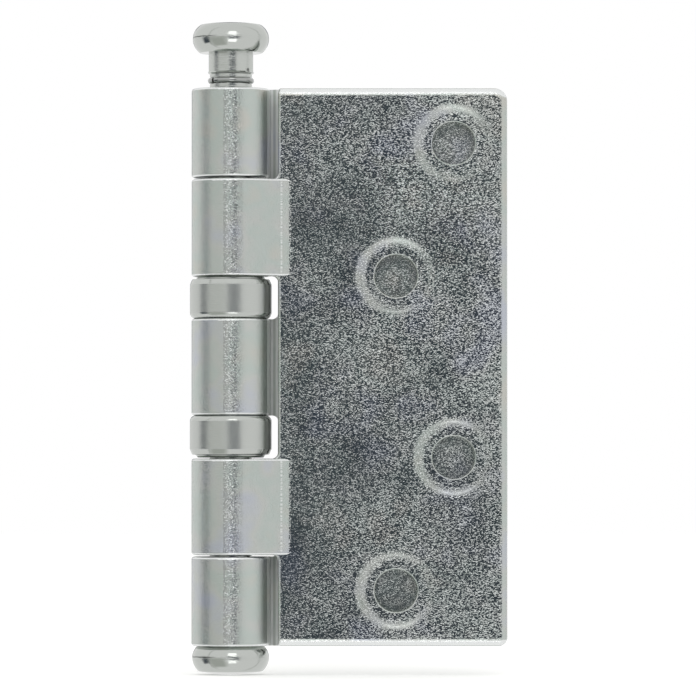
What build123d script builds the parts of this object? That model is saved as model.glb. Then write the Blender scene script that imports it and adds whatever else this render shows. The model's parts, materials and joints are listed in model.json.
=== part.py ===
from build123d import *
from math import acos, cos, degrees, radians, sin, tan
import os

# Ball bearing butt hinge, 4 x 4 inch, with five knuckles and a loose pin, in bright zinc
# plated steel. It stands closed with its pin upright along Z. The rear leaf is the one that
# is screwed to the frame: its outer face lies on Y = 0 and looks along +Y. The front leaf
# swings on the pin. The origin is the centre of the rear leaf's four screw holes, on that
# face. Lengths are in millimetres and angles in degrees.

# Leaves, each one pressed sheet with its edge rolled into knuckles
leaf_height = 101.6
leaf_reach = 50.4
leaf_thickness = 2.9
closed_gap = 1.6
edge_radius = 1.4
top_corner_radius = 2.3
bottom_corner_radius = 1.6

# Barrel, and the swage that steps each knuckle down from the barrel to its plate
bore_diameter = 8.5
outer_swage_angle = 20.0
inner_swage_angle = 24.0
swage_valley_radius = 2.0
seam_gap = 0.15
curl_end_bevel = 20.0
knuckle_end_radius = 0.5

# Knuckles and bearings, stacked both ways from the middle of the barrel
centre_knuckle_length = 17.6
inner_knuckle_length = 17.9
knuckle_gap = 0.3
end_play = 0.2

# Notches in each leaf for the other leaf's knuckles and for the bearings
notch_clearance = 1.5
notch_corner_radius = 1.1
notch_edge_radius = 0.5

# Screw holes, staggered, pressed from the inner face so that a low ring stands up outside
hole_diameter = 7.7
inner_column = 30.1
outer_column = 40.6
near_row = 16.5
far_row = 40.7
countersink_diameter = 12.0
countersink_angle = 90.0
hole_rim_radius = 0.3
ring_diameter = 15.2
ring_crest_diameter = 10.8
ring_height = 0.2

# Pin: button head, neck, and a shank with a groove for the split ring
pin_raised = 6.6
head_diameter = 13.9
head_height = 5.55
head_equator_height = 2.6
head_crown_round = 1.5
head_foot_round = 1.3
head_dome = 0.4
neck_diameter = 8.1
neck_length = 3.45
ridge_rise = 0.2
ridge_run = 0.3
shank_diameter = 7.65
pin_end_clearance = 0.8
pin_point_width = 1.0
pin_point_height = 1.6

# Split ring, which grips the top knuckle once the pin is driven home
split_ring_drop = 0.65
split_ring_height = 1.0
split_ring_wall = 0.8
split_ring_play = 0.12
split_ring_round = 0.4
slit_width = 0.5
slit_angle = 212.0
grip_clearance = 0.05

# Bottom tip, pressed into the lowest knuckle
tip_diameter = 14.0
tip_shoulder_diameter = 12.1
tip_equator_drop = 2.1
tip_foot_diameter = 11.8
tip_foot_round = 2.5
tip_dome = 0.65
spigot_length = 6.0
spigot_chamfer = 0.5

# Thrust bearings: cup, fixed race, ring of balls, turning race
cup_diameter = 14.9
cup_wall = 0.6
cup_floor = 0.8
cup_height = 7.2
cup_corner_radius = 1.1
cup_inner_corner_radius = 0.4
cup_rim_taper = 0.4
cup_rim_height = 1.0
cup_rim_round = 0.3
cup_lip_height = 0.75
cup_lip_inset = 0.45
race_stand_out = 0.5
race_bore_clearance = 0.1
race_rim_clearance = 0.05
race_lip_clearance = 0.15
race_chamfer = 0.3
fixed_race_thickness = 1.2
raceway_depth = 0.5
raceway_radius = 1.25
ball_diameter = 2.38
ball_clearance = 0.03
ball_count = 14

# Sizes that follow from the ones above
bore_radius = bore_diameter / 2
barrel_radius = bore_radius + leaf_thickness
inner_face = closed_gap / 2
outer_face = inner_face + leaf_thickness
half_height = leaf_height / 2
outer_tangent = 90 - outer_swage_angle
inner_tangent = 90 - inner_swage_angle
centre_end = centre_knuckle_length / 2
bearing_height = cup_height + race_stand_out
bearing_end = centre_end + bearing_height
inner_end = bearing_end + inner_knuckle_length
notch_edge = barrel_radius + notch_clearance
notch_mouth = -2 * barrel_radius
grip_radius = bore_radius - grip_clearance
shank_radius = shank_diameter / 2
hole_radius = hole_diameter / 2

# Bearing sizes that follow, with heights counted from the bearing's closed end
cup_radius = cup_diameter / 2
cup_bore = cup_radius - cup_wall
lip_radius = cup_bore - cup_lip_inset
race_bore = bore_radius + race_bore_clearance
race_rim = cup_bore - race_rim_clearance
race_neck = lip_radius - race_lip_clearance
ball_radius = ball_diameter / 2
ball_pitch_radius = (race_bore + cup_bore) / 2
fixed_race_top = cup_floor + fixed_race_thickness
ball_height = fixed_race_top - raceway_depth + ball_clearance + ball_radius
turning_race_foot = ball_height + ball_radius + ball_clearance - raceway_depth
race_shoulder = cup_height - cup_lip_height - cup_lip_inset - race_lip_clearance

# The pin's axis, the plane across it and the plane that cuts it lengthwise
pin_x = -(inner_column + outer_column) / 2
pin_y = -outer_face
pin_axis = Axis((pin_x, pin_y, 0), (0, 0, 1))
across = Plane((pin_x, pin_y, 0))
lengthwise = Plane((pin_x, pin_y, 0), x_dir=(1, 0, 0), z_dir=(0, -1, 0))


def on_circle(radius, angle):
    """A point of a circle round the pin, at an angle from +X."""
    return radius * cos(radians(angle)), radius * sin(radians(angle))


def is_same(length, other):
    """Are two lengths equal, apart from rounding?"""
    return abs(length - other) < 1e-6


def is_notch_side(edge):
    """Is this upright edge where the side of a notch meets the outer face of a leaf?"""
    x, y, _ = edge.center()
    return is_same(x, pin_x + notch_edge) and is_same(abs(y - pin_y), outer_face)


def is_knuckle_end(arc):
    """Is this arc the sharp outer edge at the end of a knuckle?"""
    return is_same(arc.radius, barrel_radius)


def is_hole_rim(arc):
    """Is this circle the edge of a screw hole on top of its ring?"""
    away = abs(arc.center().Y - pin_y)
    return is_same(arc.radius, hole_radius) and is_same(away, outer_face + ring_height)


def write(piece, label):
    """Label a finished piece and write it as its own STEP file."""
    piece.part.label = label
    export_step(piece.part, f"parts/{label}.step")


def swage_foot(radius, tangent, face):
    """How far out a line that leaves a circle round the pin comes down to a leaf's face."""
    x, y = on_circle(radius, tangent)
    return x + (y - face) * tan(radians(tangent))


def plate_section(side):
    """A leaf's plate across the pin, from under the swage out to its free edge; side is +1 for
    the leaf behind the pin, else -1."""
    foot = swage_foot(bore_radius, inner_tangent, inner_face)
    start = barrel_radius + seam_gap
    with BuildSketch(across.offset(-half_height)) as section:
        with BuildLine():
            Polyline(
                (start, inner_face + (foot - start) / tan(radians(inner_tangent))),
                (foot, inner_face),
                (leaf_reach, inner_face),
                (leaf_reach, outer_face),
                (start, outer_face),
                close=True,
            )
        make_face()
        if side < 0:
            mirror(about=Plane.XZ, mode=Mode.REPLACE)
    return section.sketch


def knuckle_section(side, bottom):
    """Curl and swage of a knuckle, across the pin at the height of its lower end."""
    outer_foot = (swage_foot(barrel_radius, outer_tangent, outer_face), outer_face)
    inner_foot = (swage_foot(bore_radius, inner_tangent, inner_face), inner_face)
    end = outer_foot[0] + swage_valley_radius
    curl_end = inner_tangent - degrees(acos((bore_radius - seam_gap) / barrel_radius))
    bevel_end = curl_end + curl_end_bevel
    with BuildSketch(across.offset(bottom)) as section:
        with BuildLine():
            Polyline((end, outer_face), outer_foot, on_circle(barrel_radius, outer_tangent))
            CenterArc((0, 0), barrel_radius, outer_tangent, 360 + curl_end - outer_tangent)
            Line(on_circle(barrel_radius, curl_end), on_circle(bore_radius, bevel_end))
            CenterArc((0, 0), bore_radius, inner_tangent, 360 + bevel_end - inner_tangent)
            Polyline(
                on_circle(bore_radius, inner_tangent),
                inner_foot,
                (end, inner_face),
                (end, outer_face),
            )
        make_face()
        valley = section.vertices().sort_by_distance(outer_foot)[0]
        fillet(valley, swage_valley_radius)
        if side < 0:
            mirror(about=Plane.XZ, mode=Mode.REPLACE)
    return section.sketch


def notch_outline(bottom, top):
    """What a notch takes out of a leaf between two heights, round at its inner corners."""
    with BuildSketch(lengthwise) as notch:
        with BuildLine():
            Polyline(
                (notch_mouth, bottom),
                (notch_edge, bottom),
                (notch_edge, top),
                (notch_mouth, top),
                close=True,
            )
        make_face()
        inside = notch.vertices().filter_by(lambda v: v.X > 0 and abs(v.Y) < half_height)
        fillet(inside, notch_corner_radius)
    return notch.sketch


def ring_profile(plane):
    """Half of the low ring round a screw hole, from its axis out to its foot."""
    crest = (ring_crest_diameter / 2, ring_height)
    foot = (ring_diameter / 2, 0)
    middle = ((crest[0] + foot[0]) / 2, ring_height / 2)
    with BuildSketch(plane) as profile:
        with BuildLine():
            Polyline(foot, (foot[0], -ring_height), (0, -ring_height), (0, ring_height), crest)
            TangentArc(crest, middle, tangent=(1, 0))
            TangentArc(foot, middle, tangent=(-1, 0))
        make_face()
    return profile.sketch


def build_knuckle(side, bottom, top):
    """Build one knuckle between two heights, with the outer edges of its ends rounded."""
    with BuildPart(mode=Mode.PRIVATE) as knuckle:
        extrude(knuckle_section(side, bottom), amount=top - bottom)
        ends = knuckle.edges().filter_by(GeomType.CIRCLE).filter_by(is_knuckle_end)
        fillet(ends, knuckle_end_radius)
    return knuckle.part


def build_leaf(side, notches, knuckles, holes):
    """Build one leaf with its knuckles; side is +1 for the rear leaf and -1 for the front."""
    with BuildPart() as leaf:
        extrude(plate_section(side), amount=leaf_height)
        for end, radius in ((-1, top_corner_radius), (0, bottom_corner_radius)):
            corners = leaf.edges().filter_by(Axis.Y).group_by(Axis.X)[-1].sort_by(Axis.Z)
            fillet(corners[end], radius)
        free_edges = leaf.edges().filter_by(Axis.Z).group_by(Axis.X)[-1].sort_by(Axis.Y)
        fillet(free_edges[-1 if side > 0 else 0], edge_radius)
        for bottom, top in notches:
            outline = notch_outline(bottom, top)
            extrude(outline, amount=2 * barrel_radius, both=True, mode=Mode.SUBTRACT)
        fillet(leaf.edges().filter_by(Axis.Z).filter_by(is_notch_side), notch_edge_radius)
        for bottom, top in knuckles:
            add(build_knuckle(side, bottom, top))
        for along, up in holes:
            outside = (pin_x + along, pin_y + side * outer_face, up)
            inside = (pin_x + along, pin_y + side * inner_face, up)
            ring_plane = Plane(outside, x_dir=(1, 0, 0), z_dir=(0, 0, side))
            revolve(ring_profile(ring_plane), axis=Axis(outside, (0, 1, 0)))
            with Locations(Plane(inside, z_dir=(0, -side, 0))):
                CounterSinkHole(
                    hole_radius,
                    countersink_diameter / 2,
                    depth=leaf_thickness + 2 * ring_height,
                    counter_sink_angle=countersink_angle,
                )
        fillet(leaf.edges().filter_by(GeomType.CIRCLE).filter_by(is_hole_rim), hole_rim_radius)
    return leaf


def pin_profile():
    """Half of the pin, raised as it stands, from the point of its shank up to its head."""
    under_head = half_height + pin_raised
    point = under_head - (leaf_height - spigot_length - pin_end_clearance)
    ridge = under_head - neck_length
    groove_top = ridge - ridge_rise - ridge_run - split_ring_drop + split_ring_play
    groove_bottom = groove_top - split_ring_height - 2 * split_ring_play
    groove_radius = grip_radius - split_ring_wall - split_ring_play
    head_radius = head_diameter / 2
    crown = under_head + head_height
    shoulder = (head_radius - head_crown_round, crown - head_dome)
    equator = (head_radius, under_head + head_equator_height)
    foot = (head_radius - head_foot_round, under_head)
    with BuildSketch(lengthwise) as profile:
        with BuildLine():
            Polyline(
                (0, crown),
                (0, point),
                (shank_radius - pin_point_width, point),
                (shank_radius, point + pin_point_height),
                (shank_radius, groove_bottom),
                (groove_radius, groove_bottom),
                (groove_radius, groove_top),
                (shank_radius, groove_top),
                (shank_radius, ridge - ridge_rise - ridge_run),
                (grip_radius, ridge - ridge_rise),
                (neck_diameter / 2, ridge),
                (neck_diameter / 2, under_head),
                foot,
            )
            TangentArc(equator, foot, tangent=(0, -1))
            TangentArc(equator, shoulder, tangent=(0, 1))
            TangentArc((0, crown), shoulder, tangent=(1, 0))
        make_face()
    return profile.sketch


def split_ring_profile():
    """Section of the split ring, in the lengthwise plane turned to one side of its slit."""
    top = half_height + pin_raised - neck_length - ridge_rise - ridge_run - split_ring_drop
    turn = slit_angle + degrees(slit_width / grip_radius) / 2
    away = on_circle(1, turn)
    with BuildSketch(
        Plane((pin_x, pin_y, top), x_dir=(*away, 0), z_dir=(away[1], -away[0], 0))
    ) as profile:
        with Locations((grip_radius, 0)):
            Rectangle(split_ring_wall, split_ring_height, align=(Align.MAX, Align.MAX))
        outside = profile.vertices().group_by(Axis((0, 0, 0), (*away, 0)))[-1]
        fillet(outside, split_ring_round)
    return profile.sketch


def tip_profile():
    """Half of the bottom tip, from its spigot in the lowest knuckle down to its domed foot."""
    spigot_top = spigot_length - half_height
    shoulder = (tip_shoulder_diameter / 2, -half_height)
    equator = (tip_diameter / 2, -half_height - tip_equator_drop)
    foot = (tip_foot_diameter / 2, equator[1] - tip_foot_round)
    with BuildSketch(lengthwise) as profile:
        with BuildLine():
            Polyline(
                (0, foot[1] - tip_dome),
                (0, spigot_top),
                (bore_radius - spigot_chamfer, spigot_top),
                (bore_radius, spigot_top - spigot_chamfer),
                (bore_radius, -half_height),
                shoulder,
            )
            TangentArc(equator, shoulder, tangent=(0, 1))
            TangentArc(equator, foot, tangent=(0, -1))
            TangentArc((0, foot[1] - tip_dome), foot, tangent=(1, 0))
        make_face()
    return profile.sketch


def bearing_plane(side):
    """The lengthwise plane, counted away from a bearing's closed end; side is +1 for the upper
    bearing, which opens upwards, and -1 for the lower one, which opens downwards."""
    return Plane((pin_x, pin_y, side * centre_end), x_dir=(1, 0, 0), z_dir=(0, -side, 0))


def cup_profile(side):
    """Half section of a cup: floor, wall, and the rim rolled in over the turning race."""
    with BuildSketch(bearing_plane(side)) as profile:
        with BuildLine():
            Polyline(
                (race_bore, 0),
                (cup_radius, 0),
                (cup_radius, cup_height - cup_rim_height),
                (cup_radius - cup_rim_taper, cup_height),
                (lip_radius, cup_height),
                (lip_radius, cup_height - cup_lip_height),
                (cup_bore, cup_height - cup_lip_height - cup_lip_inset),
                (cup_bore, cup_floor),
                (race_bore, cup_floor),
                close=True,
            )
        make_face()
        for corner, radius in (
            ((cup_radius, 0), cup_corner_radius),
            ((cup_bore, cup_floor), cup_inner_corner_radius),
            ((cup_radius - cup_rim_taper, cup_height), cup_rim_round),
        ):
            fillet(profile.vertices().sort_by_distance(corner)[0], radius)
    return profile.sketch


def fixed_race_profile(side):
    """Half section of the race that lies on the cup's floor, its raceway facing the balls."""
    with BuildSketch(bearing_plane(side)) as profile:
        with Locations((race_bore, cup_floor)):
            Rectangle(race_rim - race_bore, fixed_race_thickness, align=Align.MIN)
        chamfer(profile.vertices().sort_by_distance((race_rim, cup_floor))[0], race_chamfer)
        with Locations((ball_pitch_radius, fixed_race_top - raceway_depth + raceway_radius)):
            Circle(raceway_radius, mode=Mode.SUBTRACT)
    return profile.sketch


def turning_race_profile(side):
    """Half section of the race that turns with the front leaf, its neck standing out of the cup."""
    with BuildSketch(bearing_plane(side)) as profile:
        with BuildLine():
            Polyline(
                (race_bore, turning_race_foot),
                (race_rim, turning_race_foot),
                (race_rim, race_shoulder),
                (race_neck, race_shoulder + race_rim - race_neck),
                (race_neck, bearing_height),
                (race_bore, bearing_height),
                close=True,
            )
        make_face()
        chamfer(profile.vertices().sort_by_distance((race_neck, bearing_height))[0], race_chamfer)
        with Locations((ball_pitch_radius, turning_race_foot + raceway_depth - raceway_radius)):
            Circle(raceway_radius, mode=Mode.SUBTRACT)
    return profile.sketch


os.makedirs("parts", exist_ok=True)

# Rear leaf: knuckles one, three and five
half_gap = knuckle_gap / 2
rear_leaf = build_leaf(
    1,
    [(centre_end, inner_end + half_gap), (-inner_end - half_gap, -centre_end)],
    [
        (inner_end + half_gap, half_height),
        (-centre_end, centre_end),
        (-half_height, -inner_end - half_gap),
    ],
    [
        (outer_column, near_row),
        (outer_column, -far_row),
        (inner_column, far_row),
        (inner_column, -near_row),
    ],
)
write(rear_leaf, "rear_leaf")

# Front leaf: knuckles two and four
front_leaf = build_leaf(
    -1,
    [
        (inner_end - half_gap, half_height + knuckle_gap),
        (-bearing_end - end_play, bearing_end),
        (-half_height - knuckle_gap, -inner_end + half_gap),
    ],
    [(bearing_end, inner_end - half_gap), (-inner_end + half_gap, -bearing_end - end_play)],
    [
        (outer_column, far_row),
        (outer_column, -near_row),
        (inner_column, near_row),
        (inner_column, -far_row),
    ],
)
write(front_leaf, "front_leaf")

# Hinge pin, raised out of the barrel as it was photographed
with BuildPart() as hinge_pin:
    revolve(pin_profile(), axis=pin_axis)
write(hinge_pin, "hinge_pin")

with BuildPart() as pin_split_ring:
    slit = degrees(slit_width / grip_radius)
    revolve(split_ring_profile(), axis=pin_axis, revolution_arc=360 - slit)
write(pin_split_ring, "pin_split_ring")

with BuildPart() as bottom_tip:
    revolve(tip_profile(), axis=pin_axis)
write(bottom_tip, "bottom_tip")

# Bearings, each with its closed end on the centre knuckle
for place, side in (("upper", 1), ("lower", -1)):
    with BuildPart() as bearing_cup:
        revolve(cup_profile(side), axis=pin_axis)
    write(bearing_cup, f"{place}_bearing_cup")

    with BuildPart() as fixed_race:
        revolve(fixed_race_profile(side), axis=pin_axis)
    write(fixed_race, f"{place}_fixed_race")

    with BuildPart() as turning_race:
        revolve(turning_race_profile(side), axis=pin_axis)
    write(turning_race, f"{place}_turning_race")

    for number in range(ball_count):
        x, y = on_circle(ball_pitch_radius, 360 * number / ball_count)
        with BuildPart() as ball:
            with Locations((pin_x + x, pin_y + y, side * (centre_end + ball_height))):
                Sphere(ball_radius)
        write(ball, f"{place}_ball_{number + 1:02d}")
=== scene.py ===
"""Looks of a ball bearing butt hinge in bright zinc plate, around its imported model.

The frame is the model's own: the pin stands along Z, the front leaf looks along -Y, and both
leaves reach out along +X. Blender's lengths are metres. The sizes that the classes hold are
millimetres and degrees.
"""

import json
import logging
import math
from dataclasses import dataclass, field
from enum import Enum

import bpy
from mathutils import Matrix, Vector


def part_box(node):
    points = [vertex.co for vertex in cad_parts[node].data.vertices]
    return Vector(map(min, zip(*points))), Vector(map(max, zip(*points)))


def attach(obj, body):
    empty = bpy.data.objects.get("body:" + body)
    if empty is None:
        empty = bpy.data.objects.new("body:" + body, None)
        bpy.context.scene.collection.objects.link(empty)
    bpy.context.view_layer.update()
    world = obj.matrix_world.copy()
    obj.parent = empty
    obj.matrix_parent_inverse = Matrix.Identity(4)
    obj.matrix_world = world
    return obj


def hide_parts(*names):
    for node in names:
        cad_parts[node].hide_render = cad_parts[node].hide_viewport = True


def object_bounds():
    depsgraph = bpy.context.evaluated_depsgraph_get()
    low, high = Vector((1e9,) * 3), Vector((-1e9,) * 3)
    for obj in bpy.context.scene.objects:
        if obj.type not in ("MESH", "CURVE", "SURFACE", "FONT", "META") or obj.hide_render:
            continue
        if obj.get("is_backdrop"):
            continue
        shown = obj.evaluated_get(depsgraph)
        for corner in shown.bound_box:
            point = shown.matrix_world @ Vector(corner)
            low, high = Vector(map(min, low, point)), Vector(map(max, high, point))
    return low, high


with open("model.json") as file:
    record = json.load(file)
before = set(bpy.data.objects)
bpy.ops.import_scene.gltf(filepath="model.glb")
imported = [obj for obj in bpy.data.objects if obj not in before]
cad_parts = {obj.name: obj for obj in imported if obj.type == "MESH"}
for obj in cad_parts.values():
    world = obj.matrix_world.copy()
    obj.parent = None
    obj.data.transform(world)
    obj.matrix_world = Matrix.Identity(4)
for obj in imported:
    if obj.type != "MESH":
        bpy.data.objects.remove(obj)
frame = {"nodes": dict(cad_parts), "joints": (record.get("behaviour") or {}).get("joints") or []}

MM = 0.001

# The values between which most of a noise texture lies.
NOISE_SPAN = (0.35, 0.65)

# Sockets of a Mix node, by number because their names repeat: two numbers, or two colours and
# the colour that comes out.
NUMBER_A, NUMBER_B = 2, 3
COLOUR_A, COLOUR_B, COLOUR_OUT = 6, 7, 2

Node = bpy.types.Node
Socket = bpy.types.NodeSocket
Tree = bpy.types.NodeTree
Colour = tuple[float, float, float, float]
NodeInputs = dict[str | int, object]

log = logging.getLogger("hinge")


class Hex(Enum):
    """Colours of the object and of the studio, as sRGB hex values."""

    ZINC = "#C3C6C2"
    ZINC_BLUE = "#BEC2CA"
    ZINC_GREEN = "#BDC5C0"
    ZINC_WARM = "#C5C5BE"
    # A bright zinc for painted glints and highlights, painted light down the seam and the die's
    # line.
    ZINC_EDGE = "#EEF0EF"
    # Painted shade for the grain's pits.
    PIT = "#5A5D5B"
    # A dark line round the equator, and painted shade inside dents.
    WITNESS = "#3A3D3A"
    BALL = "#DDE0E2"
    SPRING = "#A9ABA9"
    PAPER = "#F4F4F2"
    WALL = "#F6F6F6"
    WALL_CORNER = "#A6A8A6"
    LOW_WALL = "#C2C5C0"
    OPENING = "#474F57"


def linear(colour: Hex) -> Colour:
    """Turn an sRGB hex colour into the linear colour that a shader takes.

    Args:
        colour: the named colour.

    Returns:
        Red, green, blue and an alpha of 1.
    """
    parts = (int(colour.value[i : i + 2], 16) / 255 for i in (1, 3, 5))
    red, green, blue = (
        part / 12.92 if part <= 0.04045 else ((part + 0.055) / 1.055) ** 2.4 for part in parts
    )
    return red, green, blue, 1.0


def add_node(tree: Tree, kind: str, inputs: NodeInputs | None = None, **settings: object) -> Node:
    """Add a node to a tree, with its settings and its links.

    Args:
        tree: the node tree that takes the node.
        kind: the node's type without its leading "ShaderNode", such as "Bump".
        inputs: a value, or the output socket to link from, for each named or numbered input.
        settings: properties of the node itself.

    Returns:
        The new node.
    """
    node = tree.nodes.new(f"ShaderNode{kind}")
    for name, value in settings.items():
        setattr(node, name, value)
    for key, value in (inputs or {}).items():
        if isinstance(value, Socket):
            tree.links.new(value, node.inputs[key])
        else:
            node.inputs[key].default_value = value
    return node


def emptied(holder: bpy.types.Material | bpy.types.World) -> Tree:
    """Empty the node tree of a material or a world.

    Args:
        holder: the material or the world.

    Returns:
        Its node tree, with no node in it.
    """
    holder.use_nodes = True
    holder.node_tree.nodes.clear()
    return holder.node_tree


@dataclass(frozen=True)
class SheetPlace:
    """Where a point of the pressed sheet lies and which way it faces, for the patterns to read.

    The place is in millimetres from the pin, whole and split into its three parts: X out along
    the leaf, Y through it and Z up. The direction is split in the same way, and the flatness
    is 1 where the surface looks straight out of the leaf.
    """

    in_mm: Socket
    along: Node
    facing: Node
    flatness: Socket

    @classmethod
    def read(cls, tree: Tree, pin: Vector) -> "SheetPlace":
        """Add the nodes that read a point's place and direction.

        Args:
            tree: the material's node tree.
            pin: a point on the pin's axis.

        Returns:
            The place.
        """
        coordinate = add_node(tree, "TexCoord")
        from_pin = add_node(
            tree, "VectorMath", {0: coordinate.outputs["Object"], 1: pin}, operation="SUBTRACT"
        )
        in_mm = add_node(
            tree, "VectorMath", {0: from_pin.outputs[0], "Scale": 1 / MM}, operation="SCALE"
        ).outputs[0]
        along = add_node(tree, "SeparateXYZ", {0: in_mm})
        facing = add_node(tree, "SeparateXYZ", {0: coordinate.outputs["Normal"]})
        flatness = add_node(tree, "Math", {0: facing.outputs["Y"]}, operation="ABSOLUTE")
        return cls(in_mm, along, facing, flatness.outputs[0])


@dataclass(frozen=True)
class SheetZinc:
    """Bright zinc plate over pickled, pressed sheet steel.

    The plate is thin and keeps the sheet's rolled grain, short shallow pits that lie across
    the leaf. The eye sees fine glints on a dark ground, livelier in some patches than in
    others, where a polished sheet would mirror the room. The knuckles were drawn smooth as
    they were curled, so the room lies along them in long soft bands. Between the leaves and
    down their sheared edges the plating is dull, because no wheel reached it. The colour adds
    painted glints on the grain's crests, painted shade in its pits, painted highlights on the
    rounded ends and painted light in streaks down the seam.

    Real grain is some hundredths of a millimetre wide. It is drawn several times coarser, at
    about a pixel of the picture, because it wouldn't show otherwise.
    """

    name: str = "bright_zinc_on_pressed_sheet"

    # The grain's length, width and depth, and the noise values at a pit's foot and a crest's
    # top. The barrel's softer relief has noise values and a share of the depth of its own.
    grain_long: float = 0.34
    grain_short: float = 0.11
    grain_depth: float = 0.0112
    grain_crest: tuple[float, float] = (0.48, 0.76)
    rolled_peel: tuple[float, float] = (0.2, 0.8)
    rolled_share: float = 2.5

    # The barrel ends between these distances from the pin. The plate's flatness falls from
    # the second value to the first over its rounded rim, and by less in the rings that the
    # punch struck round the holes, where the grain is deeper.
    barrel_reach: tuple[float, float] = (5.0, 8.0)
    plate_flatness: tuple[float, float] = (0.955, 0.985)
    struck_flatness: tuple[float, float] = (0.9925, 0.9995)
    struck_share: float = 3.4

    # The grain's depth varies from patch to patch, and grows from the pin's side to the far
    # edge of the leaf.
    patch: float = 16.0
    patch_share: tuple[float, float] = (0.72, 1.2)
    reach: tuple[float, float] = (12.0, 48.0)
    reach_share: tuple[float, float] = (0.68, 1.3)

    # How dark the painted shade in the pits is on the plate and in the struck rings, how bright
    # the painted glints on the crests are, and between which heights a crest takes its glint.
    pit_share: tuple[float, float] = (0.12, 0.3)
    crest_share: float = 0.75
    crest_worn: tuple[float, float] = (0.2, 0.8)

    # Faint casts of the passivation, with the noise value where each is strongest.
    tint_patch: float = 9.0
    tints: tuple[tuple[float, Hex], ...] = (
        (0.30, Hex.ZINC_BLUE),
        (0.45, Hex.ZINC),
        (0.56, Hex.ZINC_GREEN),
        (0.70, Hex.ZINC_WARM),
    )

    # Gloss of the plate, from patch to patch, of the barrel and of the dull plating.
    roughness: tuple[float, float] = (0.09, 0.15)
    rolled_roughness: float = 0.19
    dull_roughness: float = 0.45
    dull_metallic: float = 0.15

    # The seam beside the barrel runs between these distances from the pin, and is dull up to
    # these depths from the leaves' middle plane. The leaves' inner faces are a little dull.
    # Streaks of painted light run down the seam where it is dull enough.
    seam: tuple[float, float] = (6.6, 9.2)
    dull_depth: tuple[float, float] = (2.1, 2.7)
    inside_depth: float = 1.0
    inside_share: float = 0.15
    seam_streak: float = 0.55
    seam_streak_span: tuple[float, float] = (0.35, 0.6)
    seam_streak_dull: float = 0.3

    # Painted highlights on the rounded ends, nearer the pin or higher than these distances, where
    # the surface leans up or down by these amounts, short of the flat end faces.
    rubbed: tuple[float, float] = (11.0, 48.5)
    rubbed_lean: tuple[float, float] = (0.18, 0.3)
    end_face_lean: tuple[float, float] = (0.85, 0.95)

    # A dotted bright line that the die left down the swage's slope.
    die_line: float = 9.3
    die_line_half: float = 0.26
    die_slope: float = 0.34
    die_slope_half: float = 0.02
    die_dot: float = 0.35
    die_dot_span: tuple[float, float] = (0.4, 0.6)
    die_share: float = 0.8

    def make(self, pin: Vector) -> bpy.types.Material:
        """Build the material.

        Args:
            pin: a point on the pin's axis, round which the knuckles were rolled.

        Returns:
            The material.
        """
        material = bpy.data.materials.new(self.name)
        tree = emptied(material)
        place = SheetPlace.read(tree, pin)
        rolled = self.rolled_mask(tree, place)
        dull = self.dull_mask(tree, place)
        noise = self.grain(tree, place)
        crest = add_node(
            tree,
            "MapRange",
            {"Value": noise, "From Min": self.grain_crest[0], "From Max": self.grain_crest[1]},
            interpolation_type="SMOOTHSTEP",
        ).outputs[0]
        metallic = add_node(
            tree, "MapRange", {"Value": dull, "To Min": 1.0, "To Max": self.dull_metallic}
        )
        surface = add_node(
            tree,
            "BsdfPrincipled",
            {
                "Base Color": self.burnished(tree, place, dull, self.pitted(tree, place, crest)),
                "Metallic": metallic.outputs[0],
                "Roughness": self.sheen(tree, place, rolled, dull),
                "Normal": self.relief(tree, place, rolled, noise, crest),
            },
        )
        add_node(tree, "OutputMaterial", {"Surface": surface.outputs[0]})
        return material

    def rolled_mask(self, tree: Tree, place: SheetPlace) -> Socket:
        """Tell the barrel and the rounded edges from the plate.

        Args:
            tree: the material's node tree.
            place: the place on the sheet.

        Returns:
            1 where the sheet was rolled or rounded and 0 on the plate.
        """
        rounded = add_node(
            tree,
            "MapRange",
            {
                "Value": place.flatness,
                "From Min": self.plate_flatness[1],
                "From Max": self.plate_flatness[0],
            },
            interpolation_type="SMOOTHSTEP",
        )
        barrel = add_node(
            tree,
            "MapRange",
            {
                "Value": place.along.outputs["X"],
                "From Min": self.barrel_reach[1],
                "From Max": self.barrel_reach[0],
            },
        )
        return add_node(
            tree, "Math", {0: rounded.outputs[0], 1: barrel.outputs[0]}, operation="MAXIMUM"
        ).outputs[0]

    def dull_mask(self, tree: Tree, place: SheetPlace) -> Socket:
        """Tell the dull plating in the seam and on the leaves' inner faces from the bright.

        Args:
            tree: the material's node tree.
            place: the place on the sheet.

        Returns:
            1 where the plating is dull and 0 where it is bright.
        """
        depth = add_node(
            tree, "Math", {0: place.along.outputs["Y"]}, operation="ABSOLUTE"
        ).outputs[0]
        between = add_node(
            tree,
            "MapRange",
            {
                "Value": depth,
                "From Min": self.dull_depth[0],
                "From Max": self.dull_depth[1],
                "To Min": 1.0,
                "To Max": 0.0,
            },
        )
        start, end = self.seam
        beside = add_node(
            tree,
            "Math",
            {0: place.along.outputs["X"], 1: (start + end) / 2, 2: (end - start) / 2},
            operation="COMPARE",
        )
        seam = add_node(
            tree, "Math", {0: between.outputs[0], 1: beside.outputs[0]}, operation="MULTIPLY"
        )
        inside = add_node(tree, "Math", {0: depth, 1: self.inside_depth}, operation="LESS_THAN")
        share = add_node(
            tree, "Math", {0: inside.outputs[0], 1: self.inside_share}, operation="MULTIPLY"
        )
        return add_node(
            tree, "Math", {0: seam.outputs[0], 1: share.outputs[0]}, operation="MAXIMUM"
        ).outputs[0]

    def grain(self, tree: Tree, place: SheetPlace) -> Socket:
        """Draw the sheet's rolled grain, drawn out across the leaf.

        Args:
            tree: the material's node tree.
            place: the place on the sheet.

        Returns:
            A noise value, low in the grain's pits and high on its crests.
        """
        stretched = add_node(
            tree,
            "VectorMath",
            {0: place.in_mm, 1: (1 / self.grain_long, 1 / self.grain_short, 1 / self.grain_short)},
            operation="MULTIPLY",
        )
        return add_node(
            tree, "TexNoise", {"Vector": stretched.outputs[0], "Scale": 1.0, "Detail": 1.0}
        ).outputs[0]

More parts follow.
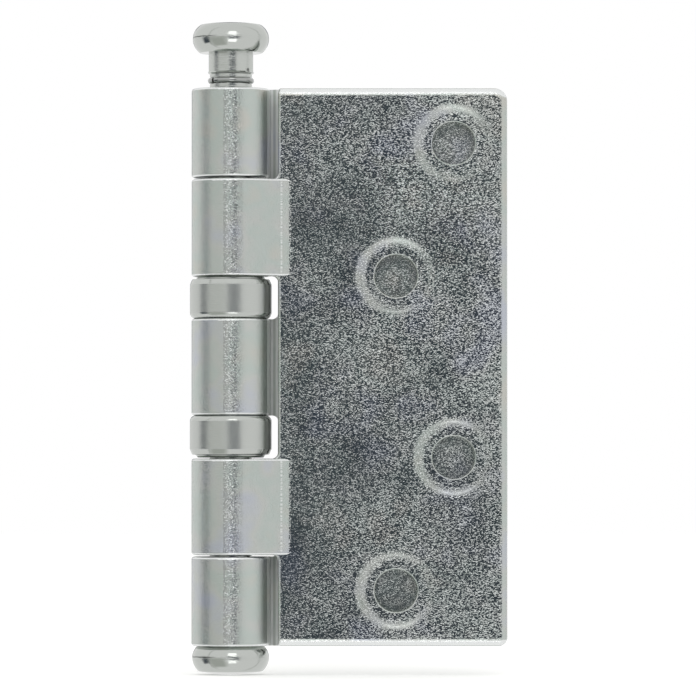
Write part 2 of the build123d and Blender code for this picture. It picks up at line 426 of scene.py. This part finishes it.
    def patches(
        self, tree: Tree, place: SheetPlace, size: float, share: tuple[float, float]
    ) -> Socket:
        """Vary a value softly from patch to patch of the sheet.

        Args:
            tree: the material's node tree.
            place: the place on the sheet.
            size: how wide a patch is.
            share: the lowest and the highest value.

        Returns:
            The value.
        """
        cloud = add_node(
            tree, "TexNoise", {"Vector": place.in_mm, "Scale": 1 / size, "Detail": 2.0}
        )
        return add_node(
            tree,
            "MapRange",
            {
                "Value": cloud.outputs[0],
                "From Min": NOISE_SPAN[0],
                "From Max": NOISE_SPAN[1],
                "To Min": share[0],
                "To Max": share[1],
            },
        ).outputs[0]

    def sheen(self, tree: Tree, place: SheetPlace, rolled: Socket, dull: Socket) -> Socket:
        """Say how rough the plating is.

        Args:
            tree: the material's node tree.
            place: the place on the sheet.
            rolled: 1 on the barrel and 0 on the plate.
            dull: 1 where the plating is dull.

        Returns:
            The roughness.
        """
        roughness = self.patches(tree, place, self.patch / 2, self.roughness)
        for mask, value in ((rolled, self.rolled_roughness), (dull, self.dull_roughness)):
            roughness = add_node(
                tree, "Mix", {0: mask, NUMBER_A: roughness, NUMBER_B: value}
            ).outputs[0]
        return roughness

    def relief(
        self, tree: Tree, place: SheetPlace, rolled: Socket, noise: Socket, crest: Socket
    ) -> Socket:
        """Raise the grain, and the softer relief that the barrel has in its place.

        Args:
            tree: the material's node tree.
            place: the place on the sheet.
            rolled: 1 on the barrel and 0 on the plate.
            noise: the grain's noise value.
            crest: 1 on the grain's crests and 0 in its pits.

        Returns:
            The surface's direction.
        """
        peel = add_node(
            tree,
            "MapRange",
            {"Value": noise, "From Min": self.rolled_peel[0], "From Max": self.rolled_peel[1]},
        )
        shape = add_node(tree, "Mix", {0: rolled, NUMBER_A: crest, NUMBER_B: peel.outputs[0]})
        height = add_node(
            tree,
            "Math",
            {0: self.grain_share(tree, place, rolled), 1: shape.outputs[0]},
            operation="MULTIPLY",
        )
        return add_node(
            tree,
            "Bump",
            {"Height": height.outputs[0], "Distance": self.grain_depth * MM, "Strength": 1.0},
        ).outputs[0]

    def grain_share(self, tree: Tree, place: SheetPlace, rolled: Socket) -> Socket:
        """Say how deep the sheet's relief is at a place.

        Args:
            tree: the material's node tree.
            place: the place on the sheet.
            rolled: 1 on the barrel and 0 on the plate.

        Returns:
            The share of the grain's depth: about 1 on the plate, and more where it was struck
            or rolled.
        """
        pressed = add_node(
            tree,
            "MapRange",
            {
                "Value": place.along.outputs["X"],
                "From Min": self.reach[0],
                "From Max": self.reach[1],
                "To Min": self.reach_share[0],
                "To Max": self.reach_share[1],
            },
        )
        struck = add_node(
            tree,
            "MapRange",
            {
                "Value": place.flatness,
                "From Min": self.struck_flatness[0],
                "From Max": self.struck_flatness[1],
                "To Min": self.struck_share,
                "To Max": 1.0,
            },
        )
        share = self.patches(tree, place, self.patch, self.patch_share)
        for factor in (pressed, struck):
            share = add_node(
                tree, "Math", {0: share, 1: factor.outputs[0]}, operation="MULTIPLY"
            ).outputs[0]
        return add_node(
            tree, "Mix", {0: rolled, NUMBER_A: share, NUMBER_B: self.rolled_share}
        ).outputs[0]

    def tint(self, tree: Tree, place: SheetPlace) -> Socket:
        """Give the plate the faint blue, green and straw casts of its passivation.

        Args:
            tree: the material's node tree.
            place: the place on the sheet.

        Returns:
            The colour.
        """
        cast = add_node(
            tree, "TexNoise", {"Vector": place.in_mm, "Scale": 1 / self.tint_patch, "Detail": 2.0}
        )
        ramp = add_node(tree, "ValToRGB", {0: cast.outputs[0]})
        elements = ramp.color_ramp.elements
        while len(elements) < len(self.tints):
            elements.new(0.5)
        for element, (position, colour) in zip(elements, self.tints, strict=True):
            element.position = position
            element.color = linear(colour)
        return ramp.outputs[0]

    def pitted(self, tree: Tree, place: SheetPlace, crest: Socket) -> Socket:
        """Paint shade into the grain's pits, most round the punched holes, and painted glints onto
        its crests.

        Args:
            tree: the material's node tree.
            place: the place on the sheet.
            crest: 1 on the grain's crests and 0 in its pits.

        Returns:
            The colour with painted shade in its pits and painted glints on its crests.
        """
        flat = add_node(
            tree, "Math", {0: place.flatness, 1: self.plate_flatness[1]}, operation="GREATER_THAN"
        )
        dirt = add_node(
            tree,
            "MapRange",
            {
                "Value": place.flatness,
                "From Min": self.struck_flatness[1],
                "From Max": self.struck_flatness[0],
                "To Min": self.pit_share[0],
                "To Max": self.pit_share[1],
            },
        )
        pit = add_node(tree, "MapRange", {"Value": crest, "To Min": 1.0, "To Max": 0.0})
        dark = dirt.outputs[0]
        for factor in (pit, flat):
            dark = add_node(
                tree, "Math", {0: dark, 1: factor.outputs[0]}, operation="MULTIPLY"
            ).outputs[0]
        worn = add_node(
            tree,
            "MapRange",
            {
                "Value": crest,
                "From Min": self.crest_worn[0],
                "From Max": self.crest_worn[1],
                "To Max": self.crest_share,
            },
        )
        bright = add_node(
            tree, "Math", {0: worn.outputs[0], 1: flat.outputs[0]}, operation="MULTIPLY"
        ).outputs[0]
        colour = self.tint(tree, place)
        # Painted shade in the pits, then painted glints on the crests.
        for share, tone in ((dark, Hex.PIT), (bright, Hex.ZINC_EDGE)):
            colour = add_node(
                tree, "Mix", {0: share, COLOUR_A: colour, COLOUR_B: linear(tone)}, data_type="RGBA"
            ).outputs[COLOUR_OUT]
        return colour

    def burnished(self, tree: Tree, place: SheetPlace, dull: Socket, colour: Socket) -> Socket:
        """Brighten the die's line, and add painted highlights on the rounded ends and painted light
        in streaks down the seam.

        Args:
            tree: the material's node tree.
            place: the place on the sheet.
            dull: 1 where the plating is dull.
            colour: the colour elsewhere.

        Returns:
            The colour with painted highlights on its ends, the die's line and streaks of painted
            light.
        """
        bright = self.rubbed_ends(tree, place)
        for other in (self.die_marks(tree, place), self.seam_streaks(tree, place, dull)):
            bright = add_node(tree, "Math", {0: bright, 1: other}, operation="MAXIMUM").outputs[0]
        return add_node(
            tree,
            "Mix",
            {0: bright, COLOUR_A: colour, COLOUR_B: linear(Hex.ZINC_EDGE)},
            data_type="RGBA",
        ).outputs[COLOUR_OUT]

    def rubbed_ends(self, tree: Tree, place: SheetPlace) -> Socket:
        """Find the rounded ends of the knuckles and of the leaves, which get a painted highlight.

        Args:
            tree: the material's node tree.
            place: the place on the sheet.

        Returns:
            1 where the painted highlight lies and 0 elsewhere.
        """
        lean = add_node(tree, "Math", {0: place.facing.outputs["Z"]}, operation="ABSOLUTE")
        rounded = add_node(
            tree,
            "MapRange",
            {
                "Value": lean.outputs[0],
                "From Min": self.rubbed_lean[0],
                "From Max": self.rubbed_lean[1],
            },
        )
        short_of_face = add_node(
            tree,
            "MapRange",
            {
                "Value": lean.outputs[0],
                "From Min": self.end_face_lean[1],
                "From Max": self.end_face_lean[0],
            },
        )
        near = add_node(
            tree, "Math", {0: place.along.outputs["X"], 1: self.rubbed[0]}, operation="LESS_THAN"
        )
        height = add_node(tree, "Math", {0: place.along.outputs["Z"]}, operation="ABSOLUTE")
        high = add_node(
            tree, "Math", {0: height.outputs[0], 1: self.rubbed[1]}, operation="GREATER_THAN"
        )
        outside = add_node(
            tree, "Math", {0: near.outputs[0], 1: high.outputs[0]}, operation="MAXIMUM"
        )
        share = rounded.outputs[0]
        for factor in (short_of_face, outside):
            share = add_node(
                tree, "Math", {0: share, 1: factor.outputs[0]}, operation="MULTIPLY"
            ).outputs[0]
        return share

    def die_marks(self, tree: Tree, place: SheetPlace) -> Socket:
        """Find the dotted line that the die left down the swage's slope.

        Args:
            tree: the material's node tree.
            place: the place on the sheet.

        Returns:
            How bright the line is, and 0 elsewhere.
        """
        from_line = add_node(
            tree, "Math", {0: place.along.outputs["X"], 1: self.die_line}, operation="SUBTRACT"
        )
        aside = add_node(tree, "Math", {0: from_line.outputs[0]}, operation="ABSOLUTE")
        line = add_node(
            tree,
            "MapRange",
            {"Value": aside.outputs[0], "From Min": self.die_line_half, "From Max": 0.0},
        )
        slope = add_node(tree, "Math", {0: place.facing.outputs["X"]}, operation="ABSOLUTE")
        on_slope = add_node(
            tree,
            "Math",
            {0: slope.outputs[0], 1: self.die_slope, 2: self.die_slope_half},
            operation="COMPARE",
        )
        dots = add_node(
            tree,
            "TexNoise",
            {"W": place.along.outputs["Z"], "Scale": 1 / self.die_dot, "Detail": 1.0},
            noise_dimensions="1D",
        )
        dotted = add_node(
            tree,
            "MapRange",
            {
                "Value": dots.outputs[0],
                "From Min": self.die_dot_span[0],
                "From Max": self.die_dot_span[1],
                "To Max": self.die_share,
            },
        )
        share = line.outputs[0]
        for factor in (on_slope, dotted):
            share = add_node(
                tree, "Math", {0: share, 1: factor.outputs[0]}, operation="MULTIPLY"
            ).outputs[0]
        return share

    def seam_streaks(self, tree: Tree, place: SheetPlace, dull: Socket) -> Socket:
        """Find the streaks of painted light that run down the dull seam beside the barrel.

        Args:
            tree: the material's node tree.
            place: the place on the sheet.
            dull: 1 where the plating is dull.

        Returns:
            1 on a streak and 0 elsewhere.
        """
        streaks = add_node(
            tree,
            "TexNoise",
            {"W": place.along.outputs["X"], "Scale": 1 / self.seam_streak, "Detail": 2.0},
            noise_dimensions="1D",
        )
        streaked = add_node(
            tree,
            "MapRange",
            {
                "Value": streaks.outputs[0],
                "From Min": self.seam_streak_span[0],
                "From Max": self.seam_streak_span[1],
            },
        )
        dulled = add_node(tree, "MapRange", {"Value": dull, "From Min": self.seam_streak_dull})
        return add_node(
            tree, "Math", {0: dulled.outputs[0], 1: streaked.outputs[0]}, operation="MULTIPLY"
        ).outputs[0]


@dataclass(frozen=True)
class Dent:
    """A small knock in a surface, by its middle and its reach."""

    middle: tuple[float, float, float]
    reach: float


@dataclass(frozen=True)
class TurnedZinc:
    """Bright zinc plate over turned, drawn or headed steel, or the bare polished steel.

    Upright walls keep the fine rings that the tool left round them, so the eye sees the room
    spread up and down into a soft band. Rounded parts are smooth and mirror it sharply, with a
    soft waviness from the heading die, and with a thin dark line round the equator on one side.
    Dents get painted shade inside them.

    Real tool rings are some hundredths of a millimetre apart. They are drawn coarser, at about
    a pixel of the picture, because they wouldn't show otherwise.
    """

    name: str
    colour: Hex = Hex.ZINC

    # Gloss of rounded parts and of upright walls, and how far a surface leans up or down
    # where it stops being a wall.
    roughness: float = 0.11
    wall_roughness: float = 0.25
    wall_lean: tuple[float, float] = (0.05, 0.25)

    # Width and depth of the waves, and width, length and depth of the tool rings.
    wave: float = 1.3
    wave_depth: float = 0.02
    line: float = 0.16
    line_round: float = 1.1
    line_depth: float = 0.03

    # Height of the dark line round the equator, half its width, the size of its waver, and the
    # sideways direction over which it fades towards the front.
    witness_level: float | None = None
    witness_half: float = 0.16
    witness_waver: float = 2 / 3
    witness_side: tuple[float, float] = (-0.6, -0.3)

    # Dents, each a bump pressed in, with painted shade inside it.
    dents: tuple[Dent, ...] = ()
    dent_depth: float = 0.12

    def make(self) -> bpy.types.Material:
        """Build the material.

        Returns:
            The material.
        """
        material = bpy.data.materials.new(self.name)
        tree = emptied(material)
        coordinate = add_node(tree, "TexCoord")
        in_mm = add_node(
            tree,
            "VectorMath",
            {0: coordinate.outputs["Object"], "Scale": 1 / MM},
            operation="SCALE",
        ).outputs[0]
        facing = add_node(tree, "SeparateXYZ", {0: coordinate.outputs["Normal"]})
        reliefs = []
        if self.line_depth:
            reliefs.append((self.rings(tree, in_mm, facing), self.line_depth))
        if self.wave_depth:
            waves = add_node(
                tree, "TexNoise", {"Vector": in_mm, "Scale": 1 / self.wave, "Detail": 1.0}
            )
            reliefs.append((waves.outputs[0], self.wave_depth))
        bowls = [self.bowl(tree, in_mm, dent) for dent in self.dents]
        reliefs += [(bowl, -self.dent_depth) for bowl in bowls]
        inputs: NodeInputs = {
            "Base Color": self.witnessed(tree, in_mm, facing, bowls),
            "Metallic": 1.0,
            "Roughness": self.sheen(tree, facing),
        }
        for height, depth in reliefs:
            bump = {"Height": height, "Distance": depth * MM, "Strength": 1.0}
            if "Normal" in inputs:
                bump["Normal"] = inputs["Normal"]
            inputs["Normal"] = add_node(tree, "Bump", bump).outputs[0]
        surface = add_node(tree, "BsdfPrincipled", inputs)
        add_node(tree, "OutputMaterial", {"Surface": surface.outputs[0]})
        return material

    def sheen(self, tree: Tree, facing: Node) -> Socket | float:
        """Say how rough the surface is.

        Args:
            tree: the material's node tree.
            facing: the surface's direction, split into its three parts.

        Returns:
            The roughness, which is one number where walls are as smooth as the rest.
        """
        if self.wall_roughness == self.roughness:
            return self.roughness
        lean = add_node(tree, "Math", {0: facing.outputs["Z"]}, operation="ABSOLUTE")
        return add_node(
            tree,
            "MapRange",
            {
                "Value": lean.outputs[0],
                "From Min": self.wall_lean[0],
                "From Max": self.wall_lean[1],
                "To Min": self.wall_roughness,
                "To Max": self.roughness,
            },
        ).outputs[0]

    def rings(self, tree: Tree, in_mm: Socket, facing: Node) -> Socket:
        """Draw the fine rings that a tool left round upright walls.

        Args:
            tree: the material's node tree.
            in_mm: the place, in millimetres.
            facing: the surface's direction, split into its three parts.

        Returns:
            The rings' height, which fades out where the surface leans.
        """
        lean = add_node(tree, "Math", {0: facing.outputs["Z"]}, operation="ABSOLUTE")
        upright = add_node(
            tree,
            "MapRange",
            {
                "Value": lean.outputs[0],
                "From Min": self.wall_lean[1],
                "From Max": self.wall_lean[0],
            },
        )
        squeezed = add_node(
            tree,
            "VectorMath",
            {0: in_mm, 1: (1 / self.line_round, 1 / self.line_round, 1 / self.line)},
            operation="MULTIPLY",
        )
        lines = add_node(
            tree, "TexNoise", {"Vector": squeezed.outputs[0], "Scale": 1.0, "Detail": 1.0}
        )
        return add_node(
            tree, "Math", {0: upright.outputs[0], 1: lines.outputs[0]}, operation="MULTIPLY"
        ).outputs[0]

    def bowl(self, tree: Tree, in_mm: Socket, dent: Dent) -> Socket:
        """Draw a dent.

        Args:
            tree: the material's node tree.
            in_mm: the place, in millimetres.
            dent: the dent.

        Returns:
            1 at the dent's middle and 0 outside of its ragged rim.
        """
        away = add_node(tree, "VectorMath", {0: in_mm, 1: dent.middle}, operation="DISTANCE")
        ragged = add_node(
            tree, "TexNoise", {"Vector": in_mm, "Scale": 1 / dent.reach, "Detail": 2.0}
        )
        reach = add_node(
            tree, "Math", {0: ragged.outputs[0], 1: 2 * dent.reach}, operation="MULTIPLY"
        )
        return add_node(
            tree,
            "MapRange",
            {"Value": away.outputs["Value"], "From Min": reach.outputs[0], "From Max": 0.0},
            interpolation_type="SMOOTHSTEP",
        ).outputs[0]

    def witnessed(
        self, tree: Tree, in_mm: Socket, facing: Node, bowls: list[Socket]
    ) -> Socket | Colour:
        """Draw a dark line round the equator, which shows on one side and fades towards the front,
        and paint shade inside the dents.

        Args:
            tree: the material's node tree.
            in_mm: the place, in millimetres.
            facing: the surface's direction, split into its three parts.
            bowls: the dents, which get painted shade inside.

        Returns:
            The colour, which is one colour where no line is drawn.
        """
        plain = linear(self.colour)
        if self.witness_level is None:
            return plain
        along = add_node(tree, "SeparateXYZ", {0: in_mm})
        ragged = add_node(
            tree, "TexNoise", {"Vector": in_mm, "Scale": 1 / self.witness_waver, "Detail": 2.0}
        )
        middle = add_node(
            tree,
            "Math",
            {0: ragged.outputs[0], 1: 2 * self.witness_half, 2: self.witness_level},
            operation="MULTIPLY_ADD",
        )
        above = add_node(
            tree, "Math", {0: along.outputs["Z"], 1: middle.outputs[0]}, operation="SUBTRACT"
        )
        away = add_node(tree, "Math", {0: above.outputs[0]}, operation="ABSOLUTE")
        line = add_node(
            tree,
            "MapRange",
            {"Value": away.outputs[0], "From Min": self.witness_half, "From Max": 0.0},
        )
        side = add_node(
            tree,
            "MapRange",
            {
                "Value": facing.outputs["X"],
                "From Min": self.witness_side[1],
                "From Max": self.witness_side[0],
            },
        )
        share = add_node(
            tree, "Math", {0: line.outputs[0], 1: side.outputs[0]}, operation="MULTIPLY"
        ).outputs[0]
        # Painted shade inside the dents.
        for bowl in bowls:
            share = add_node(tree, "Math", {0: share, 1: bowl}, operation="MAXIMUM").outputs[0]
        return add_node(
            tree,
            "Mix",
            {0: share, COLOUR_A: plain, COLOUR_B: linear(Hex.WITNESS)},
            data_type="RGBA",
        ).outputs[COLOUR_OUT]


def dress(node: str, material: bpy.types.Material) -> None:
    """Give a node of the model its finish."""
    for slot in frame["nodes"][node].material_slots:
        slot.material = material


@dataclass
class Leaves:
    """Both leaves, each pressed from one sheet with its knuckles rolled out of it."""

    nodes: tuple[str, ...] = ("rear_leaf", "front_leaf")
    finish: SheetZinc = SheetZinc()

    def build(self, pin: Vector) -> list[str]:
        """Dress the leaves.

        Args:
            pin: a point on the pin's axis.

        Returns:
            The names of the pieces.
        """
        material = self.finish.make(pin)
        for node in self.nodes:
            dress(node, material)
        return list(self.nodes)


@dataclass
class SplitRing:
    """The ring of round spring wire that sits in the pin's groove, open at its slit."""

    node: str = "pin_split_ring"
    body: str = "pin"
    slot: str = "spring_steel"
    wire: float = 0.8
    slit: float = 0.5
    slit_angle: float = 212.0
    corners: int = 16
    steps: int = 96
    smooth_angle: float = 50.0

    # Zinc over drawn spring wire: greyer than the rest, with one thin highlight along the wire.
    finish: TurnedZinc = TurnedZinc(
        "zinc_on_spring_wire",
        colour=Hex.SPRING,
        roughness=0.14,
        wall_roughness=0.14,
        line_depth=0.0,
    )

    def build(self, pin: Vector) -> bpy.types.Object:
        """Sweep the wire's section round the pin, close its ends and dress it.

        Args:
            pin: a point on the pin's axis.

        Returns:
            The ring.
        """
        low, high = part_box(self.node)
        reach = max(high.x - pin.x, pin.x - low.x)
        middle = reach - self.wire * MM / 2
        start = math.radians(self.slit_angle) + self.slit * MM / 2 / reach
        sweep = math.tau - self.slit * MM / reach
        bpy.ops.object.select_all(action="DESELECT")
        bpy.ops.mesh.primitive_circle_add(
            vertices=self.corners,
            radius=0.5,
            location=(
                pin.x + middle * math.cos(start),
                pin.y + middle * math.sin(start),
                (low.z + high.z) / 2,
            ),
            rotation=(math.pi / 2, 0, start),
        )
        ring = bpy.context.object
        ring.name = "split_ring_wire"
        ring.scale = (self.wire * MM, high.z - low.z, 1)
        bpy.ops.object.transform_apply(location=True, rotation=True, scale=True)
        bpy.ops.object.mode_set(mode="EDIT")
        bpy.ops.mesh.select_all(action="SELECT")
        bpy.ops.mesh.spin(
            steps=self.steps, angle=sweep, center=(pin.x, pin.y, low.z), axis=(0, 0, 1)
        )
        bpy.ops.mesh.select_all(action="SELECT")
        bpy.ops.mesh.fill_holes(sides=self.corners)
        bpy.ops.mesh.normals_make_consistent(inside=False)
        bpy.ops.object.mode_set(mode="OBJECT")
        bpy.ops.object.shade_smooth_by_angle(angle=math.radians(self.smooth_angle))
        ring.data.materials.append(self.finish.make())
        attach(ring, self.body)
        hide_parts(self.node)
        return ring


@dataclass
class PinSet:
    """The button-headed pin with its split ring, and the button tip pressed in below."""

    pin_node: str = "hinge_pin"
    tip_node: str = "bottom_tip"
    head_above_equator: float = 2.95
    tip_below_equator: float = 3.15
    neck_dent: Dent = Dent((-32.15, -6.25, 54.2), 0.55)
    ring: SplitRing = field(default_factory=SplitRing)

    def build(self, pin: Vector) -> list[str]:
        """Dress the pin and the tip, and make the split ring.

        Args:
            pin: a point on the pin's axis.

        Returns:
            The names of the pieces.
        """
        head_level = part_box(self.pin_node)[1].z / MM - self.head_above_equator
        tip_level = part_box(self.tip_node)[0].z / MM + self.tip_below_equator
        # Zinc over headed steel: a bright button that mirrors the room in slow waves, with a
        # dark hairline round its equator and a knock in its neck, with painted shade inside it.
        head = TurnedZinc(
            "bright_zinc_on_headed_steel", witness_level=head_level, dents=(self.neck_dent,)
        )
        # Zinc over turned steel: the same gloss and hairline, without the knock.
        tip = TurnedZinc("bright_zinc_on_turned_steel", witness_level=tip_level)
        dress(self.pin_node, head.make())
        dress(self.tip_node, tip.make())
        return [self.pin_node, self.tip_node, self.ring.build(pin).name]


@dataclass
class Bearings:
    """The two thrust bearings: pressed cups, turned races and their rings of balls."""

    places: tuple[str, ...] = ("upper", "lower")
    shells: tuple[str, ...] = ("bearing_cup", "fixed_race", "turning_race")
    balls: int = 14

    # Zinc over drawn steel: a satin wall, across which the room fades softly up and down.
    shell_finish: TurnedZinc = TurnedZinc(
        "bright_zinc_on_drawn_steel", roughness=0.14, wall_roughness=0.3, line_depth=0.02
    )

    # Ball steel, ground and polished: a plain mirror with a small sharp highlight.
    ball_finish: TurnedZinc = TurnedZinc(
        "polished_ball_steel",
        colour=Hex.BALL,
        roughness=0.06,
        wall_roughness=0.06,
        wave_depth=0.0,
        line_depth=0.0,
    )

    def build(self, _pin: Vector) -> list[str]:
        """Dress the cups, the races and the balls.

        Args:
            _pin: a point on the pin's axis, which these finishes don't need.

        Returns:
            The names of the pieces.
        """
        shells = [f"{place}_{name}" for place in self.places for name in self.shells]
        balls = [
            f"{place}_ball_{number:02d}"
            for place in self.places
            for number in range(1, self.balls + 1)
        ]
        for nodes, finish in ((shells, self.shell_finish), (balls, self.ball_finish)):
            material = finish.make()
            for node in nodes:
                dress(node, material)
        return shells + balls


@dataclass(frozen=True)
class Panel:
    """A patch of the studio's walls as the hinge sees it, its edges in degrees."""

    azimuth: tuple[float, float]
    elevation: tuple[float, float]
    colour: Hex
    strength: float = 1.0
    softness: tuple[float, float] = (4.0, 4.0)

    def inside(self, tree: Tree, azimuth: Socket, elevation: Socket) -> Socket:
        """Tell the panel from the wall round it.

        Args:
            tree: the world's node tree.
            azimuth: the azimuth of the direction that is looked in, in radians.
            elevation: its elevation, in radians.

        Returns:
            1 inside the panel, 0 outside, and between them across its soft edges.
        """
        shares = []
        for angle, (start, end), softness in (
            (azimuth, self.azimuth, self.softness[0]), (elevation, self.elevation, self.softness[1])
        ):
            from_middle = add_node(
                tree, "Math", {0: angle, 1: math.radians((start + end) / 2)}, operation="SUBTRACT"
            )
            away = add_node(tree, "Math", {0: from_middle.outputs[0]}, operation="ABSOLUTE")
            half = (end - start) / 2
            shares.append(
                add_node(
                    tree,
                    "MapRange",
                    {
                        "Value": away.outputs[0],
                        "From Min": math.radians(half + softness / 2),
                        "From Max": math.radians(half - softness / 2),
                    },
                    interpolation_type="SMOOTHSTEP",
                ).outputs[0]
            )
        return add_node(tree, "Math", dict(enumerate(shares)), operation="MULTIPLY").outputs[0]


@dataclass
class Studio:
    """Floor, camera, walls and lamp."""

    aim_x: float = -13.95
    aim_z: float = 3.5
    camera_z: float = -22.0
    camera_distance: float = 1000.0
    camera_reach: float = 10000.0
    view_width: float = 127.0
    sensor: float = 36.0
    floor_half: float = 3000.0
    floor_glow: float = 0.25
    lamp_azimuth: float = 5.0
    lamp_elevation: float = 48.0
    lamp_distance: float = 1000.0
    lamp_size: tuple[float, float] = (600.0, 350.0)
    lamp_watts: float = 1.0

    # The knuckles mirror a shaded low wall at the left with a dark doorway beyond it, the
    # room's corners and a bright strip over and under a dark opening. The opening lies in
    # front, where the flat plate mirrors it too, so the grain glints on a dark ground. The
    # back has an opening of its own, in two halves where the azimuth turns over.
    panels: tuple[Panel, ...] = (
        Panel((-68.0, -14.0), (-52.0, 2.0), Hex.LOW_WALL, softness=(22.0, 12.0)),
        Panel((-94.0, -68.0), (-26.0, 6.0), Hex.OPENING, softness=(8.0, 8.0)),
        Panel((-73.0, -70.0), (-66.0, 66.0), Hex.WALL_CORNER, softness=(2.5, 20.0)),
        Panel((98.0, 101.0), (-66.0, 66.0), Hex.WALL_CORNER, softness=(2.5, 20.0)),
        Panel((-7.0, 20.0), (16.0, 38.0), Hex.WALL, strength=2.2),
        Panel((-7.0, 20.0), (-32.0, -10.0), Hex.WALL, strength=2.2),
        Panel((-7.0, 27.0), (-14.0, 13.0), Hex.OPENING, softness=(9.0, 8.0)),
        Panel((165.0, 195.0), (-1.0, 16.0), Hex.OPENING),
        Panel((-195.0, -165.0), (-1.0, 16.0), Hex.OPENING),
    )

    def build(self, pin: Vector) -> list[str]:
        """Build the studio.

        Args:
            pin: a point on the pin's axis, which the camera stands off from.

        Returns:
            The names of its pieces.
        """
        pieces = (self.build_floor(), self.build_camera(pin), self.build_walls(), self.build_lamp())
        return [piece.name for piece in pieces]

    def build_floor(self) -> bpy.types.Object:
        """Lay a plain paper floor under the object.

        Returns:
            The floor.
        """
        low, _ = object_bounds()
        bpy.ops.object.select_all(action="DESELECT")
        bpy.ops.mesh.primitive_plane_add(
            size=2 * self.floor_half * MM, location=(self.aim_x * MM, 0, low.z)
        )
        floor = bpy.context.object
        floor.name = "paper_floor"
        floor.visible_glossy = False
        # Matt white paper: no gloss, so only the hinge's soft shadow shows on it. The glow
        # lifts it to the photograph's white for the eye, and lights nothing.
        material = bpy.data.materials.new("white_paper")
        tree = emptied(material)
        light = add_node(tree, "LightPath")
        seen = light.outputs["Is Camera Ray"]
        for ray in ("Is Glossy Ray", "Is Transmission Ray"):
            seen = add_node(
                tree, "Math", {0: seen, 1: light.outputs[ray]}, operation="MAXIMUM"
            ).outputs[0]
        lift = add_node(tree, "Math", {0: seen, 1: self.floor_glow}, operation="MULTIPLY")
        diffuse = add_node(tree, "BsdfDiffuse", {"Color": linear(Hex.PAPER)})
        glow = add_node(tree, "Emission", {"Strength": lift.outputs[0]})
        both = add_node(tree, "AddShader", {0: diffuse.outputs[0], 1: glow.outputs[0]})
        add_node(tree, "OutputMaterial", {"Surface": both.outputs[0]})
        floor.data.materials.append(material)
        floor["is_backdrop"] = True
        return floor

    def build_camera(self, pin: Vector) -> bpy.types.Object:
        """Look along +Y and a little upwards, from where the photograph was taken.

        Args:
            pin: a point on the pin's axis.

        Returns:
            The camera.
        """
        data = bpy.data.cameras.new("camera")
        data.sensor_width = self.sensor
        data.lens = self.sensor * self.camera_distance / self.view_width
        data.clip_end = self.camera_reach * MM
        camera = bpy.data.objects.new("camera", data)
        bpy.context.scene.collection.objects.link(camera)
        camera.location = (self.aim_x * MM, pin.y - self.camera_distance * MM, self.camera_z * MM)
        tilt = math.atan2(self.aim_z - self.camera_z, self.camera_distance)
        camera.rotation_euler = (math.pi / 2 + tilt, 0, 0)
        bpy.context.scene.camera = camera
        return camera

    def build_walls(self) -> bpy.types.World:
        """Put white walls all round, with their panels.

        Returns:
            The world.
        """
        world = bpy.data.worlds.new("studio")
        bpy.context.scene.world = world
        tree = emptied(world)
        coordinate = add_node(tree, "TexCoord")
        split = add_node(tree, "SeparateXYZ", {0: coordinate.outputs["Generated"]})
        towards = add_node(tree, "Math", {0: split.outputs["Y"], 1: -1.0}, operation="MULTIPLY")
        azimuth = add_node(
            tree, "Math", {0: split.outputs["X"], 1: towards.outputs[0]}, operation="ARCTAN2"
        ).outputs[0]
        elevation = add_node(tree, "Math", {0: split.outputs["Z"]}, operation="ARCSINE").outputs[0]
        colour: Socket | Colour = linear(Hex.WALL)
        for panel in self.panels:
            tone = [part * panel.strength for part in linear(panel.colour)[:3]] + [1.0]
            colour = add_node(
                tree,
                "Mix",
                {0: panel.inside(tree, azimuth, elevation), COLOUR_A: colour, COLOUR_B: tone},
                data_type="RGBA",
            ).outputs[COLOUR_OUT]
        # The picture shows the walls as plain white, and only the metal sees the panels.
        light = add_node(tree, "LightPath")
        straight = add_node(
            tree,
            "Math",
            {0: light.outputs["Is Camera Ray"], 1: light.outputs["Is Transmission Ray"]},
            operation="MAXIMUM",
        )
        seen = add_node(
            tree,
            "Mix",
            {0: straight.outputs[0], COLOUR_A: colour, COLOUR_B: (1.0, 1.0, 1.0, 1.0)},
            data_type="RGBA",
        )
        background = add_node(
            tree, "Background", {"Color": seen.outputs[COLOUR_OUT], "Strength": 1.0}
        )
        add_node(tree, "OutputWorld", {"Surface": background.outputs[0]})
        return world

    def build_lamp(self) -> bpy.types.Object:
        """Hang a soft box over the camera, which gives the floor its shadow.

        Returns:
            The lamp.
        """
        data = bpy.data.lights.new("key", "AREA")
        data.shape = "RECTANGLE"
        data.size, data.size_y = (side * MM for side in self.lamp_size)
        data.energy = self.lamp_watts
        lamp = bpy.data.objects.new("key", data)
        lamp.visible_glossy = False
        bpy.context.scene.collection.objects.link(lamp)
        azimuth, elevation = math.radians(self.lamp_azimuth), math.radians(self.lamp_elevation)
        away = Vector(
            (
                math.sin(azimuth) * math.cos(elevation),
                -math.cos(azimuth) * math.cos(elevation),
                math.sin(elevation),
            )
        )
        lamp.location = away * self.lamp_distance * MM
        lamp.rotation_euler = away.to_track_quat("Z", "Y").to_euler()
        return lamp


def main() -> None:
    """Build the studio and the parts of the hinge, and report each piece."""
    logging.basicConfig(level=logging.INFO, format="%(message)s")
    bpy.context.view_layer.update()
    bpy.context.scene.view_settings.view_transform = "Standard"
    pin = Vector(frame["joints"][0]["pos_m"])
    for part in (Studio(), Leaves(), PinSet(), Bearings()):
        for piece in part.build(pin):
            log.info("%s: %s", type(part).__name__, piece)


if __name__ == "__main__":
    main()
